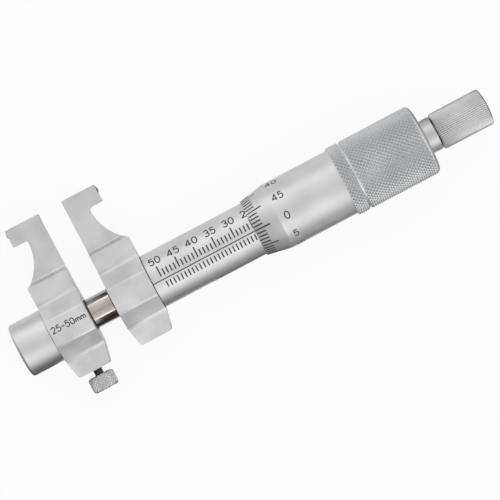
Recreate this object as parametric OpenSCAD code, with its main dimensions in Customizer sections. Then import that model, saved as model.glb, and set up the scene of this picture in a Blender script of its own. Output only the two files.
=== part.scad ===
// Inside micrometer with caliper jaws, measuring 25 to 50 mm, shown closed at its 25 mm reading.
// X runs along the spindle towards the ratchet, Y along the jaw arms towards their tips.
// The origin is on the spindle axis, where the graduated sleeve meets the fixed jaw.

/* [Measuring range] */
// Distance over the measuring faces when the jaws are closed
range_min = 25; // [23:0.5:30]
// Travel of the moving jaw
travel = 25; // [15:0.5:30]

/* [Jaws] */
// Width of each jaw along the spindle
jaw_w = 10.4; // [9:0.1:12]
// Width across the flats of the eight-sided hub
hub_af = 16; // [15:0.1:18]
// Break on the edges of the hub
hub_break = 0.1; // [0.02:0.01:0.2]
// Thickness of the neck and of the lug
plate_t = 8; // [7:0.1:9]
// Thickness of the arm
arm_t = 4.6; // [4:0.1:6.4]
// Height of the arm's end above the spindle axis
arm_top = 27.5; // [26:0.1:32]
// Height of the shoulder where the neck becomes the arm
shoulder_h = 12.5; // [11:0.1:13.5]
// Slope of the shoulder between the neck and the arm, in degrees
shoulder_slope = 65; // [50:1:75]
// Fillet at the foot of the shoulder
shoulder_fillet = 0.7; // [0.3:0.1:1.2]
// Height of the measuring nose
nose_h = 4.4; // [3.5:0.1:5]
// Reach of the measuring nose from the jaw's inner face
nose_reach = 8.9; // [8:0.1:9.2]
// Narrowest width of the arm
arm_w = 5.1; // [4.2:0.1:6]
// Radius of the sweep that hollows the arm
sweep_r = 12; // [11:0.1:13]
// Fillet under the measuring nose
nose_fillet = 0.8; // [0.3:0.1:1.2]
// Depth of the lug below the spindle axis
lug_depth = 12.4; // [11:0.1:15]
// Taper of the lug's sides, in degrees
lug_taper = 11.5; // [5:0.5:14]
// Radius of the lug's corners
lug_r = 0.8; // [0.3:0.1:1.2]
// Fillet between the hub and the neck or lug
hub_fillet = 1.6; // [0.5:0.1:2.2]

/* [Measuring tips] */
// Diameter of the carbide tip
tip_d = 2.1; // [1.6:0.1:2.4]
// Depth that the tip is set into the nose
tip_set = 3; // [2:0.1:4]
// Height of the tip's dome
dome_h = 0.35; // [0.2:0.05:0.6]
// Steel left above the tip
tip_cover = 0.3; // [0.2:0.05:0.6]

/* [Guide tube] */
// Outside diameter of the guide tube
tube_d = 7.7; // [7.2:0.1:8]
// Guided length that is left at full travel
tube_hold = 16.4; // [12:0.1:20]
// Length of tube that stands out of the moving jaw into the end cap
tube_stand = 2.5; // [1.5:0.1:4]
// Width of the keyway
keyway_w = 2; // [1.5:0.1:2.4]
// Depth of the keyway
keyway_h = 1; // [0.6:0.05:1.1]

/* [Spindle] */
// Diameter of the spindle's plain journal
journal_d = 4.5; // [4:0.1:4.8]
// Diameter of the measuring thread
thread_d = 6.4; // [5.8:0.1:6.8]
// Length of the measuring nut
nut_len = 11; // [9:0.1:14]
// Diameter of the threaded front end
stud_d = 3.8; // [3.2:0.1:3.9]
// Thickness of the thrust washers
washer_t = 0.8; // [0.5:0.05:1.2]
// Outside diameter of the front thrust washer
washer_d = 8.4; // [7.8:0.1:9]
// Thickness of the spindle nut
spindle_nut_t = 2.8; // [2:0.1:4]
// Width across the flats of the spindle nut
spindle_nut_af = 7; // [6:0.1:8]
// Length of spindle that shows past its nut
stud_over = 0.6; // [0.3:0.1:1.5]
// Taper of the spindle's rear seat, in diameter
seat_taper = 0.6; // [0.3:0.1:1]

/* [End cap] */
// Diameter of the end cap
cap_d = 13.7; // [12.5:0.1:15]
// Thickness of the end cap's wall
cap_wall = 1.5; // [1:0.1:2.5]
// Diameter of the cap's spigot in the jaw
cap_spigot_d = 11.4; // [10.5:0.1:12]
// Length of the cap's spigot
cap_spigot_len = 3; // [2:0.1:4]
// Room left before the spindle's end
cap_room = 0.6; // [0.4:0.1:2]
// Rounding of the cap's rim
cap_r = 0.7; // [0.3:0.1:1.2]

/* [Sleeve] */
// Diameter of the graduated sleeve
sleeve_d = 13.8; // [13.2:0.1:15]
// Thickness of the graduated sleeve's wall
sleeve_wall = 0.95; // [0.8:0.05:1.2]
// Distance from the jaw to the first scale line
scale_start = 2.8; // [2:0.1:5]
// Diameter of the inner sleeve in the fixed jaw
spigot_d = 10.6; // [10:0.1:11.2]
// Diameter of the hole for the adjusting spanner
spanner_d = 1.3; // [0.8:0.1:2]
// Distance of the spanner hole from the jaw
spanner_x = 4.5; // [3:0.1:8]
// Length of the tapered end that the adjusting nut closes
taper_len = 6; // [4.5:0.1:7]
// Width of the slits in the tapered end
slit_w = 0.6; // [0.4:0.1:1]
// Outside diameter of the adjusting nut
adjust_d = 12.8; // [12.2:0.1:13.4]
// Thickness of the adjusting nut's wall
adjust_wall = 0.87; // [0.75:0.01:1.1]
// Length of the adjusting nut
adjust_len = 4.6; // [3.5:0.1:5]

/* [Thimble] */
// Diameter of the plain part of the thimble
thimble_d = 17; // [16:0.1:17.6]
// Gap between the thimble and what it turns over
thimble_gap = 0.15; // [0.1:0.01:0.3]
// Thickness of the thimble's wall at its bevelled edge
bevel_lip = 0.2; // [0.1:0.05:0.5]
// Length of the bevel
bevel_len = 6.4; // [5:0.1:8]
// Diameter over the knurling
knurl_d = 18.2; // [17.8:0.1:19]
// Width of the front knurled band
knurl_front_w = 3.1; // [2:0.1:5]
// Width of the groove between the bands
groove_w = 0.8; // [0.5:0.1:1.5]
// Diameter at the bottom of the groove
groove_d = 17.2; // [16.4:0.1:17.6]
// Width of the rear knurled band
knurl_rear_w = 19; // [15:0.1:22]
// Bevel on the edges of the knurled bands
knurl_edge = 0.25; // [0.1:0.05:0.4]
// Rounding of the thimble's rear edge
thimble_r = 1.4; // [0.6:0.1:2]
// Thickness of the thimble's rear wall
rear_wall = 5.4; // [4:0.1:7]
// Room left between the rear wall and the inner sleeve at full travel
wall_room = 1.4; // [0.5:0.1:3]

/* [Ratchet] */
// Diameter of the ratchet's neck
neck_d = 8.6; // [7.5:0.1:9.2]
// Length of the ratchet's neck
neck_len = 3; // [2:0.1:5]
// Diameter of the ratchet knob over its flutes
knob_d = 9.4; // [9:0.1:11]
// Length of the ratchet knob
knob_len = 14; // [13:0.1:18]
// Gap between the neck and the knob
knob_gap = 0.25; // [0.15:0.05:0.5]
// Number of flutes round the knob
flutes = 56; // [24:1:60]
// Depth of the flutes
flute_h = 0.22; // [0.1:0.02:0.3]
// Height of the knob's domed end
knob_dome = 0.5; // [0.2:0.1:1]
// Bevel on the knob's edges
knob_edge = 0.3; // [0.2:0.05:0.5]
// Bore of the knob
knob_bore = 7; // [6.6:0.1:7.2]
// Thickness of the knob's end wall
knob_wall = 2.6; // [2:0.1:4]
// Diameter of the screwed stud that holds the ratchet in the spindle
ratchet_stud_d = 3.4; // [2.8:0.1:3.6]
// Length of the screwed stud
ratchet_stud_len = 8; // [5:0.1:10]
// Diameter of the ratchet's journal under the retaining ring
ring_seat_d = 4.8; // [4:0.1:5.2]
// Thickness of the retaining ring
ring_t = 0.8; // [0.5:0.1:1]
// Depth of the retaining ring in the knob
ring_h = 0.4; // [0.2:0.05:0.6]
// Length of the collar that the knob runs on
collar_len = 2.3; // [1.5:0.1:3]
// Width of the square that drives the ratchet wheel
square_w = 2.4; // [2:0.1:2.8]
// Thickness of the ratchet wheel without its teeth
wheel_t = 1.8; // [1.2:0.1:2.5]
// Number of ratchet teeth
teeth = 12; // [8:1:16]
// Height of the ratchet teeth
tooth_h = 0.4; // [0.2:0.05:0.5]
// Width of the ratchet teeth along the radius
tooth_w = 1; // [0.7:0.05:1.1]
// Wire diameter of the ratchet spring
wire_d = 0.5; // [0.3:0.05:0.6]
// Turns of the ratchet spring
spring_turns = 4; // [3:0.5:6]

/* [Clamp screw] */
// Diameter of the clamp screw's head
clamp_head_d = 6.8; // [5.5:0.1:8]
// Height of the clamp screw's head
clamp_head_h = 3.9; // [3:0.1:5]
// Bevel on the head's edges
clamp_edge = 0.5; // [0.2:0.05:0.8]
// Length of screw that shows between the lug and the head
clamp_show = 1.4; // [1:0.1:3]
// Diameter of the clamp screw
clamp_d = 2.4; // [2:0.1:2.8]
// Offset of the clamp screw towards the other jaw
clamp_offset = 0.4; // [0:0.1:1]
// Way that the clamp plug moves to grip the spindle
clamp_way = 0.3; // [0.1:0.05:0.5]
// Length of the brass clamp plug
plug_len = 3.6; // [2.5:0.1:4.5]

/* [Key] */
// Diameter of the guide key
key_d = 2.8; // [2.5:0.1:3.4]
// Length of the key's round body
key_len = 3.6; // [3:0.1:4.5]
// Length of the key screw
key_screw_len = 3.4; // [2.5:0.1:4]
// Width of the screwdriver slot
slot_w = 0.6; // [0.4:0.1:0.8]

/* [Fits] */
// Gap round pieces that are pressed, screwed or seated together
fit_gap = 0.02; // [0.01:0.005:0.03]
// Gap round pieces that turn or slide in each other
run_gap = 0.05; // [0.03:0.005:0.06]
// Gap between faces that turn against each other
face_gap = 0.05; // [0.03:0.01:0.1]

/* [Hidden] */
$fn = 96;

satin_chrome = [0.78, 0.79, 0.80];
polished_steel = [0.72, 0.70, 0.68];
plain_steel = [0.60, 0.61, 0.62];
dark_steel = [0.24, 0.24, 0.25];
carbide = [0.30, 0.30, 0.32];
bronze = [0.72, 0.55, 0.30];

// Length by which a cutting tool runs past the face that it cuts
over = 1;
// Largest share of its wall that a fillet takes
fillet_share = 0.9;
// Steps and rooms of the pieces inside
taper_drop = 0.6;
adjust_inset = 0.5;
seat_step = 0.2;
ring_inset = 0.9;
wheel_room = 0.2;
notch_share = 0.9;
tooth_phase = 1 / 3;
keyway_end_room = 0.4;

// Jaw heights and places along the spindle
hub_r = hub_af / 2;
facet_h = hub_r * sqrt(2) - plate_t / 2;
nose_under = arm_top - nose_h;
sweep_h = shoulder_h + sqrt(pow(sweep_r, 2) - pow(arm_w + sweep_r - jaw_w, 2));
lug_inset = (lug_depth - facet_h) * tan(lug_taper);
tip_axis_h = arm_top - tip_cover - tip_d / 2;
jaw_gap = range_min - 2 * (nose_reach + dome_h);
fixed_in = -jaw_w;
moving_in = fixed_in - jaw_gap;
moving_out = moving_in - jaw_w;

// Guide tube, thrust washers and spindle
tube_front = moving_out - tube_stand;
tube_rear = fixed_in + tube_hold + travel;
tube_bore = journal_d + 2 * run_gap;
guide_bore = tube_d + 2 * run_gap;
front_washer_x = tube_front - fit_gap - washer_t;
spindle_nut_front = front_washer_x - face_gap;
spindle_front = spindle_nut_front - spindle_nut_t - stud_over;
rear_washer_x = tube_rear + face_gap;
thread_start = rear_washer_x + washer_t;
guide_end = thread_start + face_gap;
nut_end = guide_end + nut_len;

// End cap
cap_front = spindle_front - cap_room - cap_wall;

// Sleeves and thimble
sleeve_bore = sleeve_d - 2 * sleeve_wall;
inner_sleeve_d = sleeve_bore - 2 * fit_gap;
taper_x = nut_end - taper_len;
taper_d = adjust_d - 2 * adjust_wall;
thimble_bore = max(sleeve_d, adjust_d) + 2 * thimble_gap;
bevel_d = thimble_bore + 2 * bevel_lip;
thimble_front = scale_start + travel;
wall_x = nut_end + travel + wall_room;
thimble_rear = wall_x + rear_wall;
knurl_rear_x = thimble_rear - knurl_rear_w;
knurl_front_x = knurl_rear_x - groove_w - knurl_front_w;
seat_d = thread_d - seat_step;
seat_end = thimble_rear - seat_step;

// Ratchet, from the neck to the inside of the knob
neck_end = thimble_rear + neck_len;
knob_front = neck_end + knob_gap;
knob_rear = knob_front + knob_len;
ring_x = knob_front + ring_inset;
collar_x = ring_x + ring_t + face_gap;
spring_x = collar_x + collar_len + fit_gap;
knob_floor = knob_rear - knob_wall;
wheel_tips = knob_floor - tooth_h - 2 * face_gap;
wheel_x = wheel_tips - tooth_h - wheel_t;
wheel_d = knob_bore - 2 * wheel_room;

// Clamp screw and key
clamp_x = moving_in - jaw_w / 2 + clamp_offset;
plug_tip = -(journal_d / 2 + run_gap + clamp_way);
plug_end = plug_tip - plug_len;
clamp_head_y = -(lug_depth + clamp_show);
key_x = fixed_in + jaw_w / 2;
key_tip = -(tube_d / 2 - keyway_h + face_gap);
key_shoulder = -(guide_bore / 2 + fit_gap);
key_end = key_shoulder - key_len;

// Turns a profile of radius and length about the spindle axis.
module turned() {
    rotate([0, 90, 0]) rotate_extrude() children();
}

// A round bar or bore along the spindle axis.
module bar(d, x0, x1) {
    translate([x0, 0, 0]) rotate([0, 90, 0]) cylinder(d = d, h = x1 - x0);
}

// A round bar or hole along Y, at a place along the spindle.
module cross_bar(d, x, y0, y1) {
    translate([x, y0, 0]) rotate([-90, 0, 0]) cylinder(d = d, h = y1 - y0);
}

// A ring about the spindle axis.
module ring(outer_d, inner_d, x0, x1) {
    difference() {
        bar(outer_d, x0, x1);
        bar(inner_d, x0 - over, x1 + over);
    }
}

// The web between two edges that leave the corner p along a and b, and an arc that touches both.
// Added to an inside corner it is a fillet, and taken from an outside corner it rounds it.
module corner_web(p, a, b, r) {
    half = acos(a * b) / 2;
    along = r / tan(half);
    middle = (a + b) / norm(a + b);
    centre = p + middle * r / sin(half);
    anticlockwise = cross(a, b) > 0;
    first = anticlockwise ? a : b;
    second = anticlockwise ? b : a;
    difference() {
        polygon([p - middle * r / 4, p + first * along, centre, p + second * along]);
        translate(centre) circle(r);
    }
}

// The jaw seen from the front: u away from the other jaw, v up the arm.
module jaw_outline() {
    side = [sin(lug_taper), -cos(lug_taper)];
    difference() {
        union() {
            difference() {
                polygon([
                    [0, arm_top], [0, -facet_h], [lug_inset, -lug_depth],
                    [jaw_w - lug_inset, -lug_depth], [jaw_w, -facet_h], [jaw_w, nose_under],
                    [nose_reach, nose_under], [nose_reach, arm_top]
                ]);
                intersection() {
                    translate([arm_w + sweep_r, sweep_h]) circle(sweep_r);
                    translate([0, shoulder_h]) square([jaw_w + over, nose_under - shoulder_h]);
                }
            }
            corner_web([arm_w, nose_under], [1, 0], [0, -1], nose_fillet);
        }
        corner_web([lug_inset, -lug_depth], [1, 0], [-side[0], -side[1]], lug_r);
        corner_web([jaw_w - lug_inset, -lug_depth], [-1, 0], [side[0], -side[1]], lug_r);
    }
}

// The jaw seen along the spindle: v up the arm, w across its thickness.
module jaw_section() {
    edge_r = hub_r / cos(22.5);
    step_h = (plate_t - arm_t) / 2;
    foot = shoulder_h + step_h / tan(shoulder_slope);
    foot_r = min(shoulder_fillet, fillet_share * step_h / (1 - cos(shoulder_slope)));
    intersection() {
        rotate(22.5) circle(r = edge_r, $fn = 8);
        circle(edge_r - hub_break);
    }
    translate([-lug_depth - over, -plate_t / 2]) square([lug_depth + over, plate_t]);
    translate([0, -arm_t / 2]) square([arm_top + over, arm_t]);
    polygon([
        [-over, -plate_t / 2], [shoulder_h, -plate_t / 2], [foot, -arm_t / 2],
        [foot, arm_t / 2], [shoulder_h, plate_t / 2], [-over, plate_t / 2]
    ]);
    for (w = [-1, 1]) {
        corner_web([foot, w * arm_t / 2], [1, 0], [-cos(shoulder_slope), w * sin(shoulder_slope)], foot_r);
        for (v = [-1, 1])
            corner_web([v * facet_h, w * plate_t / 2], [v, 0], [-v, w] / sqrt(2), hub_fillet);
    }
}

// A jaw with its inner face at u = 0 and the seat of its measuring tip.
module jaw_blank() {
    difference() {
        intersection() {
            linear_extrude(height = hub_af + over, center = true) jaw_outline();
            translate([-over, 0, 0]) rotate([90, 0, 90])
                linear_extrude(height = jaw_w + 2 * over) jaw_section();
        }
        translate([0, tip_axis_h, 0])
            bar(tip_d + 2 * fit_gap, nose_reach - tip_set - fit_gap, nose_reach + over);
    }
}

// A carbide pin with a domed end, set in the nose of a jaw.
module tip_pin() {
    dome_r = (pow(tip_d / 2, 2) + pow(dome_h, 2)) / (2 * dome_h);
    apex = nose_reach + dome_h;
    color(carbide) translate([0, tip_axis_h, 0]) turned() intersection() {
        translate([0, nose_reach - tip_set]) square([tip_d / 2, tip_set + dome_h]);
        union() {
            translate([0, nose_reach - tip_set]) square([tip_d, tip_set]);
            translate([0, apex - dome_r]) circle(dome_r);
        }
    }
}

// Places a jaw's pieces on the fixed side.
module on_fixed_side() {
    translate([fixed_in, 0, 0]) children();
}

// Places a jaw's pieces on the moving side, facing the other way.
module on_moving_side() {
    translate([moving_in, 0, 0]) mirror([1, 0, 0]) children();
}

module fixed_jaw() {
    color(satin_chrome) difference() {
        on_fixed_side() jaw_blank();
        bar(spigot_d + 2 * fit_gap, fixed_in - over, over);
        cross_bar(key_d + 2 * fit_gap, key_x, -lug_depth - over, 0);
    }
}

module fixed_tip() {
    on_fixed_side() tip_pin();
}

module moving_jaw() {
    color(satin_chrome) difference() {
        on_moving_side() jaw_blank();
        bar(tube_d + 2 * fit_gap, moving_out - over, moving_in + over);
        bar(cap_spigot_d + 2 * fit_gap, moving_out - over, moving_out + cap_spigot_len + fit_gap);
        cross_bar(clamp_d + 2 * run_gap, clamp_x, -lug_depth - over, 0);
    }
}

module moving_tip() {
    on_moving_side() tip_pin();
}

module sleeve() {
    rear = taper_x - run_gap;
    color(satin_chrome) difference() {
        ring(sleeve_d, sleeve_bore, 0, rear);
        translate([spanner_x, 0, -sleeve_d]) cylinder(d = spanner_d, h = sleeve_d);
    }
}

// The fixed barrel: it guides the tube, holds the measuring thread and is pressed into the jaw.
module inner_sleeve() {
    color(plain_steel) difference() {
        turned() polygon([
            [0, fixed_in], [spigot_d / 2, fixed_in], [spigot_d / 2, 0], [inner_sleeve_d / 2, 0],
            [inner_sleeve_d / 2, taper_x], [taper_d / 2, taper_x], [(taper_d - taper_drop) / 2, nut_end],
            [0, nut_end]
        ]);
        bar(guide_bore, fixed_in - over, guide_end);
        bar(thread_d + 2 * run_gap, guide_end - over, nut_end + over);
        cross_bar(key_d + 2 * fit_gap, key_x, -spigot_d, 0);
        for (turn = [0 : 120 : 240])
            rotate([turn, 0, 0])
                translate([taper_x - slit_w, 0, -slit_w / 2])
                    cube([taper_len + slit_w + over, spigot_d, slit_w]);
    }
}

// The nut that closes the slit end of the inner sleeve to take up wear in the thread.
module adjusting_nut() {
    front = nut_end - adjust_inset - adjust_len;
    grip = taper_drop / 2 / taper_len;
    front_r = taper_d / 2 - grip * (front - taper_x) + fit_gap;
    notch_w = 2 * slit_w;
    color(plain_steel) difference() {
        turned() polygon([
            [front_r, front], [adjust_d / 2, front], [adjust_d / 2, front + adjust_len],
            [front_r - grip * adjust_len, front + adjust_len]
        ]);
        for (turn = [0, 180])
            rotate([turn, 0, 0])
                translate([front + adjust_len / 2, adjust_d / 2 - slit_w, -notch_w / 2])
                    cube([adjust_len, adjust_d, notch_w]);
    }
}

// The key that keeps the moving jaw from turning: a round body with a tongue in the keyway.
module guide_key() {
    tongue = keyway_w - 2 * run_gap;
    color(plain_steel) {
        cross_bar(key_d, key_x, key_end, key_shoulder);
        intersection() {
            cross_bar(key_d, key_x, key_end, key_tip);
            translate([key_x - key_d, key_end, -tongue / 2]) cube([2 * key_d, key_tip - key_end, tongue]);
        }
    }
}

module key_screw() {
    low = key_end - key_screw_len;
    color(dark_steel) difference() {
        cross_bar(key_d, key_x, low, key_end);
        translate([key_x - key_d, low - over, -slot_w / 2]) cube([2 * key_d, over + slot_w * 1.5, slot_w]);
    }
}

// The polished tube between the jaws. It slides in the inner sleeve and carries the moving jaw.
module guide_tube() {
    front = key_x - key_d / 2 - keyway_end_room;
    rear = key_x + travel + key_d / 2 + keyway_end_room;
    color(polished_steel) difference() {
        ring(tube_d, tube_bore, tube_front, tube_rear);
        translate([front, -tube_d, -keyway_w / 2]) cube([rear - front, tube_d / 2 + keyway_h, keyway_w]);
        cross_bar(clamp_d + 2 * run_gap, clamp_x, -tube_d, 0);
    }
}

module end_cap() {
    spigot_r = cap_spigot_d / 2;
    spigot_end = moving_out + cap_spigot_len;
    color(satin_chrome) turned() difference() {
        polygon([
            [0, cap_front], [cap_d / 2, cap_front], [cap_d / 2, moving_out], [spigot_r, moving_out],
            [spigot_r, spigot_end], [spigot_r - cap_wall / 2, spigot_end],
            [spigot_r - cap_wall / 2, cap_front + cap_wall], [0, cap_front + cap_wall]
        ]);
        corner_web([cap_d / 2, cap_front], [-1, 0], [0, 1], cap_r);
    }
}

module front_thrust_washer() {
    color(bronze) ring(washer_d, stud_d + 2 * run_gap, front_washer_x, front_washer_x + washer_t);
}

module spindle() {
    shoulder = tube_front + face_gap;
    color(polished_steel) difference() {
        turned() polygon([
            [0, spindle_front], [stud_d / 2, spindle_front], [stud_d / 2, shoulder],
            [journal_d / 2, shoulder], [journal_d / 2, thread_start], [thread_d / 2, thread_start],
            [thread_d / 2, wall_x], [seat_d / 2, wall_x], [(seat_d - seat_taper) / 2, seat_end],
            [0, seat_end]
        ]);
        bar(ratchet_stud_d + 2 * fit_gap, thimble_rear - ratchet_stud_len - fit_gap, thimble_rear);
    }
}

module spindle_nut() {
    color(plain_steel) difference() {
        translate([spindle_nut_front - spindle_nut_t, 0, 0]) rotate([0, 90, 0])
            cylinder(d = spindle_nut_af / cos(30), h = spindle_nut_t, $fn = 6);
        bar(stud_d + 2 * fit_gap, spindle_front - over, tube_front);
    }
}

module rear_thrust_washer() {
    color(bronze) ring(tube_d, journal_d + 2 * fit_gap, rear_washer_x, thread_start);
}

// The thimble: bevelled edge, plain drum, two knurled bands and a rear wall on the spindle's taper.
module thimble() {
    drum_r = thimble_d / 2;
    grip_r = knurl_d / 2;
    floor_r = groove_d / 2;
    seat_r = seat_d / 2 + fit_gap;
    color(satin_chrome) turned() difference() {
        polygon([
            [thimble_bore / 2, thimble_front], [bevel_d / 2, thimble_front],
            [drum_r, thimble_front + bevel_len], [drum_r, knurl_front_x],
            [grip_r - knurl_edge, knurl_front_x], [grip_r, knurl_front_x + knurl_edge],
            [grip_r, knurl_rear_x - groove_w - knurl_edge], [grip_r - knurl_edge, knurl_rear_x - groove_w],
            [floor_r, knurl_rear_x - groove_w], [floor_r, knurl_rear_x],
            [grip_r - knurl_edge, knurl_rear_x], [grip_r, knurl_rear_x + knurl_edge],
            [grip_r, thimble_rear], [seat_r - seat_taper / 2, thimble_rear],
            [seat_r - seat_taper / 2, seat_end], [seat_r, wall_x], [thimble_bore / 2, wall_x]
        ]);
        corner_web([grip_r, thimble_rear], [-1, 0], [0, -1], thimble_r);
    }
}

// The fixed part of the ratchet: stud, neck, collar and the square that drives the wheel.
module ratchet_shank() {
    square_end = wheel_x + wheel_t;
    color(satin_chrome) {
        bar(ratchet_stud_d, thimble_rear - ratchet_stud_len, thimble_rear + over);
        turned() difference() {
            translate([0, thimble_rear]) square([neck_d / 2, neck_len]);
            corner_web([neck_d / 2, neck_end], [-1, 0], [0, -1], knob_gap);
        }
        bar(ring_seat_d, neck_end - over, collar_x + over);
        bar(knob_bore - 2 * run_gap, collar_x, collar_x + collar_len);
        translate([collar_x, -square_w / 2, -square_w / 2])
            cube([square_end - collar_x, square_w, square_w]);
    }
}

// Points of a round wire wound about the spindle axis, one ring of points after another.
function wire_ring(angle, x, mean_r) = [
    for (side = [0 : 60 : 300])
        let (r = mean_r + wire_d / 2 * cos(side))
            [x + wire_d / 2 * sin(side), r * cos(angle), r * sin(angle)]
];

module ratchet_spring() {
    steps = 18 * spring_turns;
    sides = 6;
    first = spring_x + wire_d / 2;
    last = wheel_x - fit_gap - wire_d / 2;
    mean_r = (knob_bore + square_w * sqrt(2)) / 4;
    points = [
        for (i = [0 : steps])
            each wire_ring(360 * spring_turns * i / steps, first + (last - first) * i / steps, mean_r)
    ];
    walls = [
        for (i = [0 : steps - 1], j = [0 : sides - 1])
            let (next = (j + 1) % sides, a = i * sides, b = a + sides)
                [a + j, b + j, b + next, a + next]
    ];
    ends = [[for (j = [0 : sides - 1]) j], [for (j = [sides - 1 : -1 : 0]) steps * sides + j]];
    color(plain_steel) polyhedron(points, concat(ends, walls));
}

// The notches between saw teeth round a face at x = 0, cut down to -tooth_h.
module tooth_notches() {
    inner_r = wheel_d / 2 - tooth_w;
    notch_w = 2 * PI * inner_r / teeth * notch_share;
    bar(2 * inner_r, -tooth_h * 5 / 4, over);
    for (i = [0 : teeth - 1])
        rotate([360 * (i + tooth_phase) / teeth, 0, 0]) translate([0, 0, inner_r - tooth_w / 2])
            linear_extrude(height = 2 * tooth_w)
                polygon([[over, 0], [-tooth_h, 0], [0, notch_w], [over, notch_w + over / 4]]);
}

module ratchet_wheel() {
    hole_w = square_w + 2 * run_gap;
    color(plain_steel) difference() {
        bar(wheel_d, wheel_x, wheel_tips);
        translate([wheel_x - over, -hole_w / 2, -hole_w / 2])
            cube([wheel_t + tooth_h + 2 * over, hole_w, hole_w]);
        translate([wheel_tips, 0, 0]) tooth_notches();
    }
}

// The fluted outline of the knob, with one groove per flute.
module knob_outline() {
    polygon([
        for (i = [0 : 2 * flutes - 1])
            let (r = knob_d / 2 - (i % 2) * flute_h)
                r * [cos(180 * i / flutes), sin(180 * i / flutes)]
    ]);
}

// The room that the knob's bevelled edges and domed end leave for its flutes.
module knob_envelope() {
    r = knob_d / 2;
    dome_x = knob_rear - knob_dome;
    dome_r = (pow(r, 2) + pow(knob_dome, 2)) / (2 * knob_dome);
    turned() intersection() {
        polygon([
            [0, knob_front], [r - knob_edge, knob_front], [r + over, knob_front + knob_edge + over],
            [r + over, dome_x - knob_edge - over], [r - knob_edge - 2 * over, dome_x + 2 * over],
            [0, dome_x + 2 * over]
        ]);
        translate([0, knob_rear - dome_r]) circle(dome_r);
    }
}

module ratchet_knob() {
    color(satin_chrome) difference() {
        intersection() {
            translate([knob_front - over, 0, 0]) rotate([90, 0, 90])
                linear_extrude(height = knob_len + 2 * over) knob_outline();
            knob_envelope();
        }
        bar(knob_bore, knob_front - over, knob_floor - tooth_h);
        translate([knob_floor - tooth_h, 0, 0]) mirror([1, 0, 0]) tooth_notches();
        bar(knob_bore + 2 * ring_h, ring_x - fit_gap, ring_x + ring_t + fit_gap);
    }
}

module retaining_ring() {
    color(plain_steel) difference() {
        ring(knob_bore + 2 * ring_h - 2 * fit_gap, ring_seat_d + 2 * run_gap, ring_x, ring_x + ring_t);
        translate([ring_x - over, 0, -ring_h]) cube([ring_t + 2 * over, knob_bore, 2 * ring_h]);
    }
}

module clamp_screw() {
    low = clamp_head_y - clamp_head_h;
    end = plug_end - face_gap;
    r = clamp_head_d / 2;
    color(satin_chrome) translate([clamp_x, 0, 0]) rotate([-90, 0, 0]) rotate_extrude() polygon([
        [0, low], [r - clamp_edge, low], [r, low + clamp_edge], [r, clamp_head_y - clamp_edge],
        [r - clamp_edge, clamp_head_y], [clamp_d / 2, clamp_head_y], [clamp_d / 2, end], [0, end]
    ]);
}

module clamp_plug() {
    color(bronze) cross_bar(clamp_d, clamp_x, plug_end, plug_tip);
}

fixed_jaw();
fixed_tip();
sleeve();
inner_sleeve();
adjusting_nut();
guide_key();
key_screw();
moving_jaw();
moving_tip();
guide_tube();
end_cap();
front_thrust_washer();
spindle();
spindle_nut();
rear_thrust_washer();
thimble();
ratchet_shank();
ratchet_spring();
ratchet_wheel();
ratchet_knob();
retaining_ring();
clamp_screw();
clamp_plug();
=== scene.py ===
# Looks of an inside micrometer: finishes, knurling, flutes, scales, stage, light and camera.
# Everything is in metres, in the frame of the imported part: X along the spindle, Y up the jaw arms.
import math

import bmesh
import bpy
from mathutils import Matrix, Vector


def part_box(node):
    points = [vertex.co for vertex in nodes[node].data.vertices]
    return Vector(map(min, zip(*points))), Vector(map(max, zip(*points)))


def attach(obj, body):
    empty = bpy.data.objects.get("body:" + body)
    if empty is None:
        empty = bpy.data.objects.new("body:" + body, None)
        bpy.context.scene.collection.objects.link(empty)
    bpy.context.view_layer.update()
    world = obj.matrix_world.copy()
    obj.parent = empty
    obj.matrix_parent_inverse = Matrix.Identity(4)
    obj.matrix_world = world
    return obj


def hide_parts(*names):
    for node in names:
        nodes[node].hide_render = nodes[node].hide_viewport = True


MM = 0.001
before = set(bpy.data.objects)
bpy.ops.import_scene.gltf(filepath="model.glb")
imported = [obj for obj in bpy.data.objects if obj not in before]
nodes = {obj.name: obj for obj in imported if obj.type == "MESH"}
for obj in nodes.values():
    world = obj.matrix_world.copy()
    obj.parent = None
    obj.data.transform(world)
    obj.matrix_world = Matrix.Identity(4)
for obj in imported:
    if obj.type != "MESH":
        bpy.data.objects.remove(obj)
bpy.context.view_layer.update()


# Places and sizes that the frame gives

def node_span(node, axis):
    low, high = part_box(node)
    return low[axis], high[axis]


def node_radius(node):
    low, high = node_span(node, 2)
    return (high - low) / 2


SLEEVE_FRONT, SLEEVE_REAR = node_span("sleeve", 0)
SLEEVE_R = node_radius("sleeve")
THIMBLE_FRONT, THIMBLE_REAR = node_span("thimble", 0)
KNURL_R = node_radius("thimble")
KNOB_FRONT, KNOB_REAR = node_span("ratchet_knob", 0)
KNOB_R = node_radius("ratchet_knob")
JAW_OUT, JAW_IN = node_span("moving_jaw", 0)
JAW_BACK_Z, JAW_FRONT_Z = node_span("moving_jaw", 2)
CLAMP_LOW, CLAMP_TOP = node_span("clamp_screw", 1)
CLAMP_HEAD_R = node_radius("clamp_screw")
CLAMP_X = sum(node_span("clamp_screw", 0)) / 2
CAP_R = node_radius("end_cap")
TUBE_R = node_radius("guide_tube")
FIXED_OUT = node_span("fixed_jaw", 0)[0]

# Thimble: bevel, drum, bore and rounded rear rim
DRUM_R = 8.5 * MM
BEVEL_R = 7.25 * MM
BEVEL_LENGTH = 6.4 * MM
BEVEL_END = THIMBLE_FRONT + BEVEL_LENGTH
THIMBLE_BORE_R = 7.05 * MM
THIMBLE_SEAT_R = 3.0 * MM
THIMBLE_WALL = 5.4 * MM
THIMBLE_ROUND = 1.4 * MM

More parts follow.
